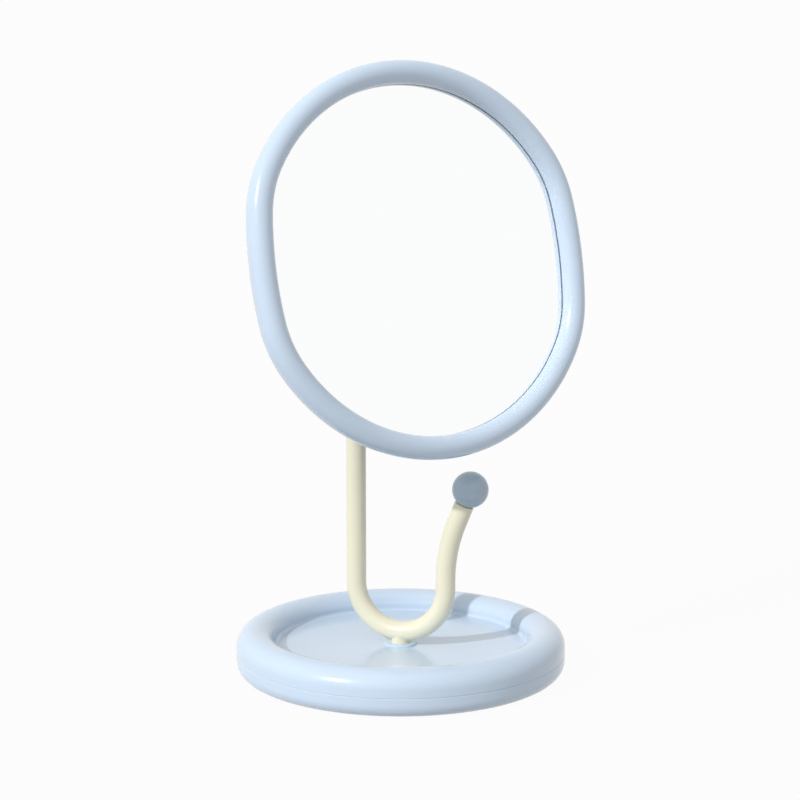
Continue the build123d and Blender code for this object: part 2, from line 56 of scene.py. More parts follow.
def deselectAll():
    if bpy.context.object and bpy.context.object.mode != "OBJECT":
        bpy.ops.object.mode_set(mode="OBJECT")
    bpy.ops.object.select_all(action="DESELECT")


def startPoint(name, point):
    # one vertex to draw from, left in edit mode
    deselectAll()
    bpy.ops.mesh.primitive_plane_add(size=1 * mm, location=(0, 0, 0))
    piece = bpy.context.object
    piece.name = name
    piece.data.name = name
    bpy.ops.object.mode_set(mode="EDIT")
    bpy.ops.mesh.select_mode(type="VERT")
    bpy.ops.mesh.select_all(action="SELECT")
    bpy.ops.mesh.merge(type="CENTER")
    bpy.ops.transform.translate(value=point)
    return piece


def drawOutline(name, points):
    # a chain of edges through the points, all of it selected at the end
    piece = startPoint(name, points[0])
    for here, there in zip(points, points[1:]):
        step = Vector(there) - Vector(here)
        bpy.ops.mesh.extrude_vertices_move(TRANSFORM_OT_translate={"value": step})
    bpy.ops.mesh.select_all(action="SELECT")
    return piece


def spinSelected(angle, centre, axis, stepDegrees):
    # with no window the spin turns against the right-hand rule, so the angle is given reversed
    steps = max(2, ceil(degrees(abs(angle)) / stepDegrees))
    bpy.ops.mesh.spin(steps=steps, angle=-angle, center=centre, axis=axis)


def closeShell():
    bpy.ops.mesh.select_all(action="SELECT")
    bpy.ops.mesh.remove_doubles(threshold=mergeReach)
    bpy.ops.mesh.normals_make_consistent(inside=False)


def finishPiece(piece, body, material, replaced):
    # place goes into the mesh, flat faces stay crisp, and the piece takes over from its CAD nodes
    deselectAll()
    piece.select_set(True)
    bpy.context.view_layer.objects.active = piece
    bpy.ops.object.transform_apply(location=True, rotation=True, scale=True)
    bpy.ops.object.shade_smooth_by_angle(angle=radians(smoothDegrees))
    piece.data.materials.clear()
    piece.data.materials.append(material)
    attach(piece, body)
    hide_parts(*replaced)


def heightAt(node, x, y=0.0):
    # top surface of a CAD node over a place on the table
    hit = nodes[node].ray_cast(Vector((x, y, 1)), Vector((0, 0, -1)))
    return hit[1].z


def offAxis(point):
    # distance from the upright axis of the base
    return sqrt(point.x ** 2 + point.y ** 2)


def ellipseArc(centre, width, height, startDegrees, endDegrees, count):
    points = []
    for step in range(count + 1):
        turn = radians(startDegrees + (endDegrees - startDegrees) * step / count)
        points.append((centre[0] + width * cos(turn), centre[1] + height * sin(turn)))
    return points


# shader helpers

class Shade:
    # wraps a socket, so that sums and products of sockets are written as plain expressions
    def __init__(self, tree, socket):
        self.tree = tree
        self.socket = socket

    def maths(self, operation, other=None, swapped=False):
        node = self.tree.nodes.new("ShaderNodeMath")
        node.operation = operation
        values = [other, self] if swapped else [self, other]
        for place, value in enumerate(values):
            if isinstance(value, Shade):
                self.tree.links.new(value.socket, node.inputs[place])
            elif value is not None:
                node.inputs[place].default_value = value
        return Shade(self.tree, node.outputs[0])

    def __add__(self, other):
        return self.maths("ADD", other)

    def __radd__(self, other):
        return self.maths("ADD", other, swapped=True)

    def __sub__(self, other):
        return self.maths("SUBTRACT", other)

    def __rsub__(self, other):
        return self.maths("SUBTRACT", other, swapped=True)

    def __mul__(self, other):
        return self.maths("MULTIPLY", other)

    def __gt__(self, other):
        return self.maths("GREATER_THAN", other)

    def __lt__(self, other):
        return self.maths("LESS_THAN", other)

    def swing(self, width):
        # a pattern from 0 to 1, turned into one that swings about zero
        return (self - 0.5) * width

    def clamped(self):
        node = self.maths("ADD", 0.0)
        node.socket.node.use_clamp = True
        return node


class Wiring:
    # a node tree, with one method that adds any node
    def __init__(self, tree):
        self.tree = tree

    def add(self, kind, settings, inputs, output=0):
        node = self.tree.nodes.new(kind)
        for key, value in settings.items():
            setattr(node, key, value)
        for key, value in inputs.items():
            if isinstance(value, Shade):
                self.tree.links.new(value.socket, node.inputs[key])
            else:
                node.inputs[key].default_value = value
        return Shade(self.tree, node.outputs[output])

    def mixColours(self, factor, first, second):
        return self.add("ShaderNodeMix", {"data_type": "RGBA"}, {0: factor, 6: first, 7: second}, 2)

    def dot(self, place, direction):
        return self.add(
            "ShaderNodeVectorMath", {"operation": "DOT_PRODUCT"}, {0: place, 1: direction}, "Value"
        )

    def seenRays(self):
        # 1 on what the camera sees, straight or in gloss and glass, and 0 on light that falls on things
        seen = self.add("ShaderNodeLightPath", {}, {}, "Is Camera Ray")
        for ray in ("Is Glossy Ray", "Is Transmission Ray"):
            seen = seen + self.add("ShaderNodeLightPath", {}, {}, ray)
        scattered = self.add("ShaderNodeLightPath", {}, {}, "Diffuse Depth")
        return seen.clamped() * (scattered < 0.5)


class Finish(Wiring):
    # a material with its Principled shader
    def __init__(self, name, **constants):
        self.material = bpy.data.materials.new(name)
        self.material.use_nodes = True
        super().__init__(self.material.node_tree)
        self.shader = self.tree.nodes["Principled BSDF"]
        self.output = self.tree.nodes["Material Output"]
        for socketName, value in constants.items():
            self.shader.inputs[socketName.replace("_", " ")].default_value = value
        self.place = self.add("ShaderNodeTexCoord", {}, {}, "Object")

    def noise(self, scale, detail=3.0, roughness=0.5, stretch=(1, 1, 1)):
        # noise from 0 to 1, with its size given per metre
        place = self.add("ShaderNodeMapping", {}, {"Vector": self.place, "Scale": stretch})
        return self.add(
            "ShaderNodeTexNoise", {},
            {"Vector": place, "Scale": scale, "Detail": detail, "Roughness": roughness}, "Fac",
        )

    def specks(self, scale, size):
        # 1 inside small scattered dots, 0 elsewhere
        distance = self.add(
            "ShaderNodeTexVoronoi", {}, {"Vector": self.place, "Scale": scale}, "Distance"
        )
        return distance < size

    def feed(self, socketName, value):
        self.tree.links.new(value.socket, self.shader.inputs[socketName])

    def bump(self, height, distance, strength):
        normal = self.add(
            "ShaderNodeBump", {}, {"Height": height, "Distance": distance, "Strength": strength}
        )
        self.feed("Normal", normal)


def paint(red, green, blue):
    # a colour given as screen values from 0 to 255
    def linear(value):
        share = value / 255
        return share / 12.92 if share <= 0.04045 else ((share + 0.055) / 1.055) ** 2.4
    return (linear(red), linear(green), linear(blue), 1.0)


# materials; noise is sized per metre, and the other numbers say how much each pattern adds

plasticLook = {
    "deep": paint(203, 222, 243),
    "pale": paint(211, 228, 247),
    "dust": paint(240, 245, 250),
    "roughness": 0.24,
    "coat": 0.45,
}
knobLook = {
    "deep": paint(172, 192, 210),
    "pale": paint(182, 201, 217),
    "dust": paint(200, 210, 218),
    "roughness": 0.30,
    "coat": 0.25,
}
plasticPattern = {
    "cloudScale": 38,
    "cloudCoat": 0.15,
    "wipeScale": 70,
    "wipeStretch": (1, 1, 9),
    "wipeRoughness": 0.10,
    "grainScale": 900,
    "grainRoughness": 0.03,
    "grainHeight": 0.25,
    "dustScale": 420,
    "dustSize": 0.055,
    "dustPatches": 60,
    "dustShare": 0.35,
    "dustRoughness": 0.2,
    "peelScale": 260,
    "peelDepth": 0.02 * mm,
    "peelStrength": 0.35,
}


def makeBluePlastic(name, look):
    # glossy moulded plastic: slight clouding of the pigment, faint orange peel, fine wiping marks
    pattern = plasticPattern
    finish = Finish(name, IOR=1.46, Coat_Roughness=0.06, Coat_IOR=1.5)
    cloud = finish.noise(pattern["cloudScale"], detail=4)
    grain = finish.noise(pattern["grainScale"], detail=2)
    wiped = finish.noise(pattern["wipeScale"], detail=5, stretch=pattern["wipeStretch"])
    peel = finish.noise(pattern["peelScale"], detail=2)
    patches = finish.noise(pattern["dustPatches"], detail=1)
    dust = finish.specks(pattern["dustScale"], pattern["dustSize"]) * patches
    base = finish.mixColours(cloud, look["deep"], look["pale"])
    finish.feed("Base Color", finish.mixColours(dust * pattern["dustShare"], base, look["dust"]))
    rough = look["roughness"] + wiped.swing(pattern["wipeRoughness"])
    rough = rough + grain.swing(pattern["grainRoughness"]) + dust * pattern["dustRoughness"]
    finish.feed("Roughness", rough)
    finish.feed("Coat Weight", look["coat"] - cloud.swing(pattern["cloudCoat"]))
    finish.bump(peel + grain * pattern["grainHeight"], pattern["peelDepth"], pattern["peelStrength"])
    return finish.material


creamLook = {
    "deep": paint(238, 232, 205),
    "pale": paint(244, 239, 215),
    "pit": paint(205, 198, 168),
    "roughness": 0.34,
    "coat": 0.25,
    "driftScale": 22,
    "driftRoughness": 0.08,
    "driftCoat": 0.1,
    "pitScale": 700,
    "pitSize": 0.05,
    "pitShare": 0.25,
    "peelScale": 520,
    "peelRoughness": 0.12,
    "peelDepth": 0.03 * mm,
    "peelStrength": 0.4,
}


def makeCreamPaint():
    # powder coat: soft orange peel, a slow drift between two creams, and a few darker pits
    look = creamLook
    finish = Finish("creamPaint", IOR=1.5, Coat_Roughness=0.12, Coat_IOR=1.5)
    peel = finish.noise(look["peelScale"], detail=2, roughness=0.4)
    drift = finish.noise(look["driftScale"], detail=3)
    pits = finish.specks(look["pitScale"], look["pitSize"])
    base = finish.mixColours(drift, look["deep"], look["pale"])
    finish.feed("Base Color", finish.mixColours(pits * look["pitShare"], base, look["pit"]))
    rough = look["roughness"] + drift.swing(look["driftRoughness"]) + peel.swing(look["peelRoughness"])
    finish.feed("Roughness", rough)
    finish.feed("Coat Weight", look["coat"] + drift.swing(look["driftCoat"]))
    finish.bump(peel, look["peelDepth"], look["peelStrength"])
    return finish.material


metalLook = {
    "zinc": (0.62, 0.62, 0.60),
    "zincRoughness": 0.34,
    "warmth": (1.0, 0.96, 0.86),
    "cloudScale": 300,
    "cloudRoughness": 0.16,
    "markScale": 2600,
    "markRoughness": 0.12,
    "markDepth": 0.01 * mm,
    "markStrength": 0.3,
}


def makeMetal(name, colour, roughness, stretch):
    # plated or rolled steel: a cloudy skin, and fine marks that lie close together along one axis
    look = metalLook
    finish = Finish(name, Metallic=1.0)
    cloud = finish.noise(look["cloudScale"], detail=3)
    marks = finish.noise(look["markScale"], detail=2, stretch=stretch)
    warm = [value * factor for value, factor in zip(colour, look["warmth"])]
    finish.feed("Base Color", finish.mixColours(cloud, (*colour, 1.0), (*warm, 1.0)))
    rough = roughness + cloud.swing(look["cloudRoughness"]) + marks.swing(look["markRoughness"])
    finish.feed("Roughness", rough)
    finish.bump(marks, look["markDepth"], look["markStrength"])
    return finish.material


softLook = {
    "driftScale": 40,
    "driftShare": 0.6,
    "grainShare": 0.4,
    "grainRoughness": 0.15,
    "grainStrength": 0.5,
    "darker": 0.9,
}


def makeSoft(name, colour, roughness, cellScale, depth):
    # rubber, foam and plain mouldings: fine cells or a matt grain
    look = softLook
    finish = Finish(name, IOR=1.45)
    grain = finish.noise(cellScale, detail=4)
    drift = finish.noise(look["driftScale"], detail=3)
    darker = [value * look["darker"] for value in colour[:3]]
    mottle = drift * look["driftShare"] + grain * look["grainShare"]
    finish.feed("Base Color", finish.mixColours(mottle, (*darker, 1.0), colour))
    finish.feed("Roughness", roughness + grain.swing(look["grainRoughness"]))
    finish.bump(grain, depth, look["grainStrength"])
    return finish.material


silverLook = {
    "deep": paint(252, 253, 254),
    "pale": paint(255, 255, 255),
    "roughness": 0.012,
    "filmRoughness": 0.012,
    "filmScale": 25,
    "filmStretch": (1, 1, 3),
}


def makeSilvering():
    # mirror glass: near perfect silver, with the faintest film of dust and wiping
    look = silverLook
    finish = Finish("mirrorSilver", Metallic=1.0)
    film = finish.noise(look["filmScale"], detail=5, stretch=look["filmStretch"])
    finish.feed("Base Color", finish.mixColours(film, look["deep"], look["pale"]))
    finish.feed("Roughness", look["roughness"] + film * look["filmRoughness"])
    return finish.material


bluePlastic = makeBluePlastic("bluePlastic", plasticLook)
knobPlastic = makeBluePlastic("knobPlastic", knobLook)
creamPaint = makeCreamPaint()
zincSteel = makeMetal("zincSteel", metalLook["zinc"], metalLook["zincRoughness"], stretch=(1, 1, 12))
ballastSteel = makeMetal("ballastSteel", (0.20, 0.20, 0.21), roughness=0.55, stretch=(6, 1, 1))
acetal = makeSoft("acetal", paint(236, 235, 228), roughness=0.42, cellScale=1800, depth=0.01 * mm)
padRubber = makeSoft("padRubber", paint(196, 203, 208), roughness=0.78, cellScale=1500, depth=0.05 * mm)
padFoam = makeSoft("padFoam", paint(222, 225, 226), roughness=0.9, cellScale=2600, depth=0.08 * mm)
mirrorSilver = makeSilvering()
print("materials ready")


# the base: two turned shells with a seam between them

baseShape = {
    "outerCrown": 7.9 * mm,
    "innerCrown": 6.3 * mm,
    "floorFillet": 1.6 * mm,
    "wall": 2.4 * mm,
    "floorThickness": 2.0 * mm,
    "bossRadius": 7.35 * mm,
    "bossRound": 0.5 * mm,
    "bossPoints": 5,
    "boltHole": 3.2 * mm,
    "seamChamfer": 0.25 * mm,
    "footRound": 6.0 * mm,
    "footPoints": 12,
    "lipHeight": 2.2 * mm,
    "lipWall": 1.5 * mm,
    "lipClearance": 0.15 * mm,
    "lipRoot": 1.6 * mm,
    "padClearance": 0.3 * mm,
    "turnSteps": 1.5,  # degrees
    "arcPoints": 14,
    "filletPoints": 6,
}

trayPoints = [vertex.co for vertex in nodes["base_tray"].data.vertices]
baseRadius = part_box("base_tray")[1].x
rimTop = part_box("base_tray")[1].z
crest = max(trayPoints, key=lambda point: point.z)
crestRadius = offAxis(crest)
outerWall = [point for point in trayPoints if offAxis(point) > baseRadius - baseShape["wall"] / 2]
seamHeight = min(point.z for point in outerWall)
trayFloor = heightAt("base_tray", crestRadius / 2)
bossTop = heightAt("base_tray", 0, (baseShape["boltHole"] + baseShape["bossRadius"]) / 2)
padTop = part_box("antislip_pad")[1].z
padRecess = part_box("antislip_pad")[1].x + baseShape["padClearance"]
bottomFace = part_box("base_bottom")[0].z


def rimArc(inset, firstDegrees, lastDegrees):
    # quarter of the rim's crown, outer side from 0 to 90 degrees and inner side from 90 to 180
    outer = firstDegrees < 90 or lastDegrees < 90
    crown = baseShape["outerCrown"] if outer else baseShape["innerCrown"]
    width = baseRadius - crestRadius - inset
    centre = (crestRadius, rimTop - crown)
    return ellipseArc(centre, width, crown - inset, firstDegrees, lastDegrees, baseShape["arcPoints"])


def makeBaseTop():
    wall, chamfer = baseShape["wall"], baseShape["seamChamfer"]
    fillet = baseShape["floorFillet"]
    innerWall = 2 * crestRadius - baseRadius
    underFloor = trayFloor - baseShape["floorThickness"]
    boss, bossRound = baseShape["bossRadius"], baseShape["bossRound"]
    hole = baseShape["boltHole"]
    bossCorner = (boss - bossRound, bossTop - bossRound)
    floorCorner = (innerWall - fillet, trayFloor + fillet)
    profile = [(hole, bossTop)]
    profile += ellipseArc(bossCorner, bossRound, bossRound, 90, 0, baseShape["bossPoints"])
    profile += [(boss, trayFloor)]
    profile += ellipseArc(floorCorner, fillet, fillet, -90, 0, baseShape["filletPoints"])
    profile += rimArc(0, 180, 90)
    profile += rimArc(0, 90, 0)[1:]
    profile += [(baseRadius, seamHeight + chamfer), (baseRadius - chamfer, seamHeight)]
    profile += [(baseRadius - wall, seamHeight)]
    profile += rimArc(wall, 0, 90)
    profile += rimArc(wall, 90, 180)[1:]
    profile += [(innerWall + wall, underFloor), (hole, underFloor), (hole, bossTop)]
    piece = drawOutline("baseTop", [Vector((x, 0, z)) for x, z in profile])
    spinSelected(2 * pi, (0, 0, 0), (0, 0, 1), baseShape["turnSteps"])
    closeShell()
    finishPiece(piece, "stand", bluePlastic, ["base_tray"])


def makeBaseFoot():
    wall, chamfer = baseShape["wall"], baseShape["seamChamfer"]
    foot = baseShape["footRound"]
    floor = padTop + baseShape["floorThickness"]
    lip = baseRadius - wall
    lipInside = lip - baseShape["lipWall"]
    lipTop = seamHeight + baseShape["lipHeight"]
    lipRoot = seamHeight - baseShape["lipRoot"]
    profile = [(0, padTop), (padRecess, padTop), (padRecess, bottomFace)]
    profile += ellipseArc(
        (baseRadius - foot, bottomFace + foot), foot, foot, -90, 0, baseShape["footPoints"]
    )
    profile += [(baseRadius, seamHeight - chamfer), (baseRadius - chamfer, seamHeight)]
    profile += [(lip, seamHeight), (lip - baseShape["lipClearance"], lipTop), (lipInside, lipTop)]
    profile += [(lipInside, lipRoot), (lip, lipRoot - baseShape["lipWall"])]
    inner = foot - wall
    profile += ellipseArc(
        (lip - inner, floor + inner), inner, inner, 0, -90, baseShape["filletPoints"]
    )
    profile += [(0, floor)]
    piece = drawOutline("baseFoot", [Vector((x, 0, z)) for x, z in profile])
    spinSelected(2 * pi, (0, 0, 0), (0, 0, 1), baseShape["turnSteps"])
    closeShell()
    finishPiece(piece, "stand", bluePlastic, ["base_bottom"])


makeBaseTop()
makeBaseFoot()
print("base ready")


# the stand: one tube, bent in the way a bending machine does it

tubeShape = {
    "neck": 13.0 * mm,
    "swayRadius": 30.0 * mm,
    "rise": 4.3 * mm,
    "flareRadius": 70.0 * mm,
    "flareDegrees": 22.0,
    "tip": 10.0 * mm,
    "endRound": 0.4 * mm,
    "sides": 64,
    "bendSteps": 2.5,  # degrees
}

tubeLow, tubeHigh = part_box("stand_tube")
tubeRadius = (tubeHigh.y - tubeLow.y) / 2
bendRadius = -tubeLow.x - tubeRadius
bendCentre = tubeLow.z + tubeRadius + bendRadius


class TubeRun:
    # where the open end of the tube is, in the XZ plane, and which way it heads
    def __init__(self, x, z, headingDegrees):
        self.x = x
        self.z = z
        self.heading = radians(headingDegrees)

    def straight(self, length):
        step = Vector((cos(self.heading) * length, 0, sin(self.heading) * length))
        bpy.ops.mesh.extrude_edges_move(TRANSFORM_OT_translate={"value": step})
        self.x += step.x
        self.z += step.z

    def bend(self, radius, turnDegrees):
        # a turn to the left is positive, seen with +X to the right and +Z up
        side = 1 if turnDegrees > 0 else -1
        turn = radians(turnDegrees)
        centreX = self.x - sin(self.heading) * radius * side
        centreZ = self.z + cos(self.heading) * radius * side
        spinSelected(turn, (centreX, 0, centreZ), (0, -1, 0), tubeShape["bendSteps"])
        self.heading += turn
        self.x = centreX + sin(self.heading) * radius * side
        self.z = centreZ - cos(self.heading) * radius * side


def makeTube():
    deselectAll()
    endRound = tubeShape["endRound"]
    bpy.ops.mesh.primitive_circle_add(
        vertices=tubeShape["sides"], radius=tubeRadius - endRound, location=(0, 0, tubeHigh.z)
    )
    piece = bpy.context.object
    piece.name = "bentTube"
    bpy.ops.object.mode_set(mode="EDIT")
    bpy.ops.mesh.select_all(action="SELECT")
    run = TubeRun(0, tubeHigh.z, -90)
    run.straight(endRound)
    wider = tubeRadius / (tubeRadius - endRound)
    bpy.ops.transform.resize(value=(wider, wider, 1), center_override=(run.x, 0, run.z))
    # two opposite turns that together set the tube back by the U-bend's radius
    swayTurn = 2 * asin(sqrt(bendRadius / (4 * tubeShape["swayRadius"])))
    run.straight(tubeShape["neck"] - endRound)
    run.bend(tubeShape["swayRadius"], -degrees(swayTurn))
    run.bend(tubeShape["swayRadius"], degrees(swayTurn))
    run.straight(run.z - bendCentre)
    run.bend(bendRadius, 180)
    run.straight(tubeShape["rise"])
    run.bend(tubeShape["flareRadius"], -tubeShape["flareDegrees"])
    run.straight(tubeShape["tip"] - endRound)
    run.straight(endRound)
    bpy.ops.transform.resize(value=(1 / wider,) * 3, center_override=(run.x, 0, run.z))
    bpy.ops.mesh.select_all(action="SELECT")
    bpy.ops.mesh.fill_holes(sides=0)
    closeShell()
    finishPiece(piece, "stand", creamPaint, ["stand_tube"])
    return run


tubeEnd = makeTube()


knobShape = {
    "segments": 96,
    "rings": 64,
    "seatDepth": 0.35 * mm,
}


def makeKnob():
    # the ball on the tip, with a small flat where it sits on the tube
    low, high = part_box("hook_ball")
    centre = (low + high) / 2
    radius = (high.y - low.y) / 2
    deselectAll()
    bpy.ops.mesh.primitive_uv_sphere_add(
        segments=knobShape["segments"], ring_count=knobShape["rings"], radius=radius, location=(0, 0, 0)
    )
    piece = bpy.context.object
    piece.name = "hookKnob"
    towardsTube = (Vector((tubeEnd.x, 0, tubeEnd.z)) - centre).normalized()
    bpy.ops.object.mode_set(mode="EDIT")
    bpy.ops.mesh.select_all(action="SELECT")
    bpy.ops.transform.translate(value=centre)
    bpy.ops.mesh.bisect(
        plane_co=centre + towardsTube * (radius - knobShape["seatDepth"]), plane_no=towardsTube,
        use_fill=True, clear_outer=True,
    )
    closeShell()
    finishPiece(piece, "stand", knobPlastic, ["hook_ball"])


makeKnob()
print("stand ready")


# the mirror head, made in its own plane and then set in place on the hinge

headShape = {
    "recess": 1.0 * mm,
    "sectionHalf": 5.2 * mm,
    "frontDepth": 5.2 * mm,
    "backDepth": 9.0 * mm,
    "seamDepth": 5.0 * mm,
    "cornerRadius": 51.8 * mm,
    "sideBow": 1.1 * mm,
    "endBow": 14.3 * mm,
    "bezelOverlap": 3.2 * mm,
    "rebateWall": 1.4 * mm,
    "frameWall": 1.9 * mm,
    "frameCrown": 2.8 * mm,
    "grooveDraft": 1.0 * mm,
    "coverThickness": 2.0 * mm,
    "tongueHeight": 2.0 * mm,
    "tongueWall": 1.6 * mm,
    "tongueClearance": 0.2 * mm,
    "silverDepth": 0.6 * mm,
    "glassThickness": 3.0 * mm,
    "glassClearance": 0.3 * mm,
    "glassChamfer": 0.4 * mm,
    "seamGap": 0.22 * mm,
    "seamEase": 2.0,  # degrees
    "sectionPoints": 22,
    "turnSteps": 2.0,  # degrees
    "faceReach": 0.05 * mm,
    "normalSlack": 0.01,
}

tilt = next(joint for joint in frame["joints"] if joint["name"] == "mirror_tilt")
hingePoint = Vector(tilt["pos_m"])
headRight = -Vector(tilt["axis"])


def glassNormal():
    # the face of the CAD glass that looks forwards
    glass = nodes["mirror_glass"].data
    total = Vector((0, 0, 0))
    for face in glass.polygons:
        if abs(face.normal.dot(headRight)) < headShape["normalSlack"] and face.normal.z > 0:
            total += face.normal * face.area
    return total.normalized()


headNormal = glassNormal()
headUp = headNormal.cross(headRight)
glassPoints = [vertex.co - hingePoint for vertex in nodes["mirror_glass"].data.vertices]
framePoints = [vertex.co - hingePoint for vertex in nodes["mirror_frame"].data.vertices]
glassFront = max(point.dot(headNormal) for point in glassPoints)
ringHalfWidth = max(point.dot(headRight) for point in framePoints) - headShape["sectionHalf"]
ringHalfHeight = max(point.dot(headUp) for point in framePoints) - headShape["sectionHalf"]
headCentre = hingePoint + headNormal * (glassFront + headShape["recess"])
headTurn = Matrix((headRight, headUp, headNormal)).transposed().to_4x4()
headPlace = Matrix.Translation(headCentre) @ headTurn


def ringArcs():
    # the outline as tangent arcs, from the middle of the right side and anticlockwise; the radii of
    # sides and ends follow from how far they bow out between the corners
    corner = headShape["cornerRadius"]
    sideBow, endBow = headShape["sideBow"], headShape["endBow"]
    x = ringHalfWidth - corner - sideBow
    y = ringHalfHeight - corner - endBow
    side = corner + sideBow / 2 + y ** 2 / (2 * sideBow)
    end = corner + endBow / 2 + x ** 2 / (2 * endBow)
    sideTurn = atan2(y, side - corner - sideBow)
    endTurn = atan2(end - corner - endBow, x)
    right, left = (ringHalfWidth - side, 0, 0), (side - ringHalfWidth, 0, 0)
    top, bottom = (0, ringHalfHeight - end, 0), (0, end - ringHalfHeight, 0)
    return [
        (right, sideTurn), ((x, y, 0), endTurn - sideTurn), (top, pi - 2 * endTurn),
        ((-x, y, 0), endTurn - sideTurn), (left, 2 * sideTurn), ((-x, -y, 0), endTurn - sideTurn),
        (bottom, pi - 2 * endTurn), ((x, -y, 0), endTurn - sideTurn), (right, sideTurn),
    ]


def sweepRing(name, section):
    # section points are (outwards, forwards) from the middle of the ring's section
    piece = drawOutline(name, [Vector((ringHalfWidth + x, 0, z)) for x, z in section])
    for centre, turn in ringArcs():
        spinSelected(turn, centre, (0, 0, 1), headShape["turnSteps"])
    return piece


def seatOnHinge(piece):
    bpy.ops.object.mode_set(mode="OBJECT")
    piece.matrix_world = headPlace


seamTurn = degrees(asin(headShape["seamDepth"] / headShape["backDepth"]))
seamReach = headShape["sectionHalf"] * cos(radians(seamTurn))
rebateReach = headShape["bezelOverlap"] - headShape["sectionHalf"]


def makeRingFrame():
    half, front, back = headShape["sectionHalf"], headShape["frontDepth"], headShape["backDepth"]
    seam, gap = headShape["seamDepth"], headShape["seamGap"]
    points, ease = headShape["sectionPoints"], headShape["seamEase"]
    grooveIn = rebateReach + headShape["rebateWall"]
    grooveOut = seamReach - headShape["frameWall"]
    grooveTop = front - headShape["frameCrown"]
    section = [(-half, -headShape["recess"])]
    section += ellipseArc((0, 0), half, front, 180, 0, 2 * points)
    section += ellipseArc((0, 0), half, back, 0, ease - seamTurn, points // 2)[1:]
    section += [(seamReach - gap, -seam), (grooveOut, -seam), (grooveOut, 0)]
    section += [(grooveOut - headShape["grooveDraft"], grooveTop), (grooveIn, grooveTop)]
    section += [(grooveIn, -seam)]
    section += [(rebateReach, -seam), (rebateReach, -headShape["recess"]), section[0]]
    piece = sweepRing("ringFrame", section)
    closeShell()
    seatOnHinge(piece)
    finishPiece(piece, "mirror_head", bluePlastic, ["mirror_frame"])


def fillFlatLoop(piece, depth):
    # closes the ring with one face over its open edges at one depth
    bpy.ops.mesh.select_mode(type="EDGE")
    bpy.ops.mesh.select_all(action="DESELECT")
    bpy.ops.object.mode_set(mode="OBJECT")
    mesh = piece.data
    counts = {}
    for face in mesh.polygons:
        for key in face.edge_keys:
            counts[key] = counts.get(key, 0) + 1
    for edge in mesh.edges:
        ends = [mesh.vertices[index].co for index in edge.vertices]
        level = all(abs(end.z - depth) < headShape["faceReach"] for end in ends)
        edge.select = counts.get(edge.key) == 1 and level
    bpy.ops.object.mode_set(mode="EDIT")
    bpy.ops.mesh.edge_face_add()


def closeFaces(piece, depths):
    bpy.ops.mesh.select_all(action="SELECT")
    bpy.ops.mesh.remove_doubles(threshold=mergeReach)
    for depth in depths:
        fillFlatLoop(piece, depth)
    closeShell()


def makeRingBack():
    half, back = headShape["sectionHalf"], headShape["backDepth"]
    seam, gap, ease = headShape["seamDepth"], headShape["seamGap"], headShape["seamEase"]
    inside = headShape["coverThickness"] - back
    rim = seamReach - headShape["frameWall"] - headShape["tongueClearance"]
    rimInside = rim - headShape["tongueWall"]
    rimTop = headShape["tongueHeight"] - seam
    section = ellipseArc((0, 0), half, back, -90, -seamTurn - ease, headShape["sectionPoints"])
    section += [(seamReach - gap, -seam), (rim, -seam), (rim, rimTop)]
    section += [(rimInside, rimTop), (rimInside, inside), (0, inside)]
    piece = sweepRing("ringBack", section)
    closeFaces(piece, (-back, inside))
    seatOnHinge(piece)
    finishPiece(piece, "mirror_head", bluePlastic, ["back_cover"])


def makeMirrorPlate():
    # the silvering is what reflects, so the plate's face lies a little behind the bezel
    silver = -headShape["recess"] - headShape["silverDepth"]
    rear = -headShape["recess"] - headShape["glassThickness"]
    edge = rebateReach - headShape["glassClearance"]
    chamfer = headShape["glassChamfer"]
    section = [(edge - chamfer, silver), (edge, silver - chamfer), (edge, rear)]
    piece = sweepRing("mirrorPlate", section)
    closeFaces(piece, (silver, rear))
    seatOnHinge(piece)
    finishPiece(piece, "mirror_head", mirrorSilver, ["mirror_glass"])


makeRingFrame()
makeRingBack()
makeMirrorPlate()
print("mirror head ready")


# what stays as it came keeps its shape and gets its own finish

boltThread = {
    "pitch": 0.7 * mm,
    "depth": 0.2 * mm,
    "strength": 0.7,
    # painted shade: the darker colour laid into the thread's roots, where the grooves would be in shadow
    "paintedRootShade": paint(118, 116, 110),
    "bright": (0.62, 0.62, 0.60, 1),
    "warm": (0.62, 0.60, 0.52, 1),
}


def makeBoltSteel():
    # the same steel, with a thread on the end of the bolt that stands in and out of its nut; the thread's
    # roots carry painted shade, a darker colour where the grooves would be in shadow
    finish = Finish("boltSteel", Metallic=1.0)
    nutReach = [(vertex.co - hingePoint).dot(headRight) for vertex in nodes["tilt_nut"].data.vertices]
    towardsNut = headRight if sum(nutReach) > 0 else -headRight
    threadStart = min(abs(reach) for reach in nutReach)
    along = finish.dot(finish.place, towardsNut) - hingePoint.dot(towardsNut)
    cloud = finish.noise(metalLook["cloudScale"], detail=3)
    turns = (along * (2 * pi / boltThread["pitch"])).maths("SINE") * 0.5 + 0.5
    # crest is 1 on the thread's crests and falls to 0 in its roots, where the painted shade colour goes
    crest = 1 - (along > threadStart) * (1 - turns)
    bright = finish.mixColours(cloud, boltThread["bright"], boltThread["warm"])
    finish.feed("Base Color", finish.mixColours(crest, boltThread["paintedRootShade"], bright))
    finish.feed("Roughness", metalLook["zincRoughness"] + cloud.swing(metalLook["cloudRoughness"]))
    finish.bump(crest, boltThread["depth"], boltThread["strength"])
    return finish.material


keptFinishes = {
    "antislip_pad": padRubber,
    "ballast_plate": ballastSteel,
    "glass_pad": padFoam,
    "foot_stud": creamPaint,
    "swivel_head": creamPaint,
    "tilt_bracket": creamPaint,
    "hook_insert": acetal,
    "swivel_bushing": acetal,
    "swivel_washer": acetal,
    "friction_washers": acetal,
    "tilt_bolt": makeBoltSteel(),
}
for name, node in nodes.items():
    if not node.hide_render:
        node.data.materials.clear()
        node.data.materials.append(keptFinishes.get(name, zincSteel))
print("kept pieces finished")


# floor, light and camera

